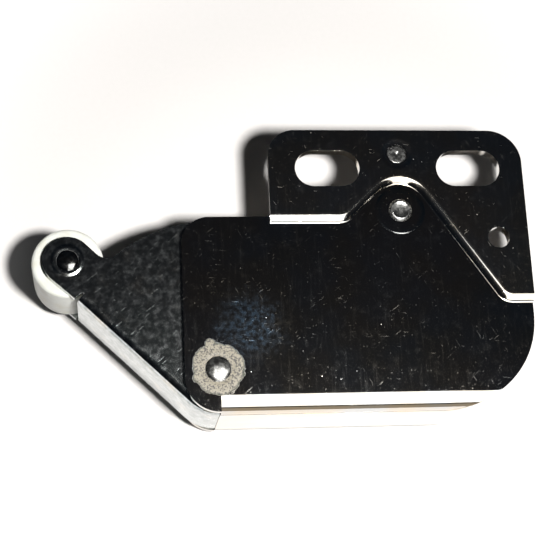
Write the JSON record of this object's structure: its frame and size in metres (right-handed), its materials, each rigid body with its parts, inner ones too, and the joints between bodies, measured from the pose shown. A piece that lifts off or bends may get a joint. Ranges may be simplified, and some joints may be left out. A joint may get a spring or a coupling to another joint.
{
  "type": "push-to-open roller latch",
  "caption": "Flat riveted sheet-metal touch latch: a slotted screw flange on a shallow case, with a sprung lever that carries a plastic roller.",
  "frame": {"origin": "on the mounting face, midway between the two screw slots", "axes": "+X along the line of the two slots, away from the roller; +Y from the case towards the flange's free edge; +Z out of the mounting face"},
  "size_m": [0.0634, 0.0367, 0.013],
  "materials": {
    "front_sheet": "bright nickel plate with fine scratches and specks",
    "rear_sheet": "bright nickel plate",
    "worn_sheet": "scuffed nickel plate",
    "rivet_steel": "smooth plated steel",
    "plain_steel": "plain turned and pressed steel",
    "spring_steel": "drawn spring wire",
    "white_nylon": "smooth white nylon"
  },
  "bodies": {
    "case": {"front_cover": "front_sheet", "rear_cover": "rear_sheet", "flange_rivet": "rivet_steel", "lever_rivet": "rivet_steel", "pawl_rivet": "rivet_steel", "pivot_sleeve": "plain_steel", "pawl_spacer_front": "plain_steel", "pawl_spacer_rear": "plain_steel", "main_spring": "spring_steel", "pawl_spring": "spring_steel"},
    "lever": {"lever_arm": "worn_sheet", "roller_pin": "rivet_steel", "latch_pin": "plain_steel"},
    "roller": {"roller": "white_nylon"},
    "pawl": {"pawl": "plain_steel"}
  },
  "joints": [
    {"name": "lever_swing", "type": "hinge", "parent": "case", "child": "lever", "pos_m": [-0.0241, -0.0261, -0.0068], "axis": [0, 0, -1], "range_deg": [0, 50], "stiffness_Nm_per_rad": 0.04, "springref_deg": -34.38, "deforming": ["main_spring"]},
    {"name": "roller_spin", "type": "hinge", "parent": "lever", "child": "roller", "pos_m": [-0.0424, -0.01165, -0.0068], "axis": [0, 0, 1], "continuous": true},
    {"name": "pawl_swing", "type": "hinge", "parent": "case", "child": "pawl", "pos_m": [0, -0.0056, -0.0068], "axis": [0, 0, -1], "range_deg": [0, 12], "stiffness_Nm_per_rad": 0.01, "springref_deg": -17.19, "deforming": ["pawl_spring"]}
  ]
}
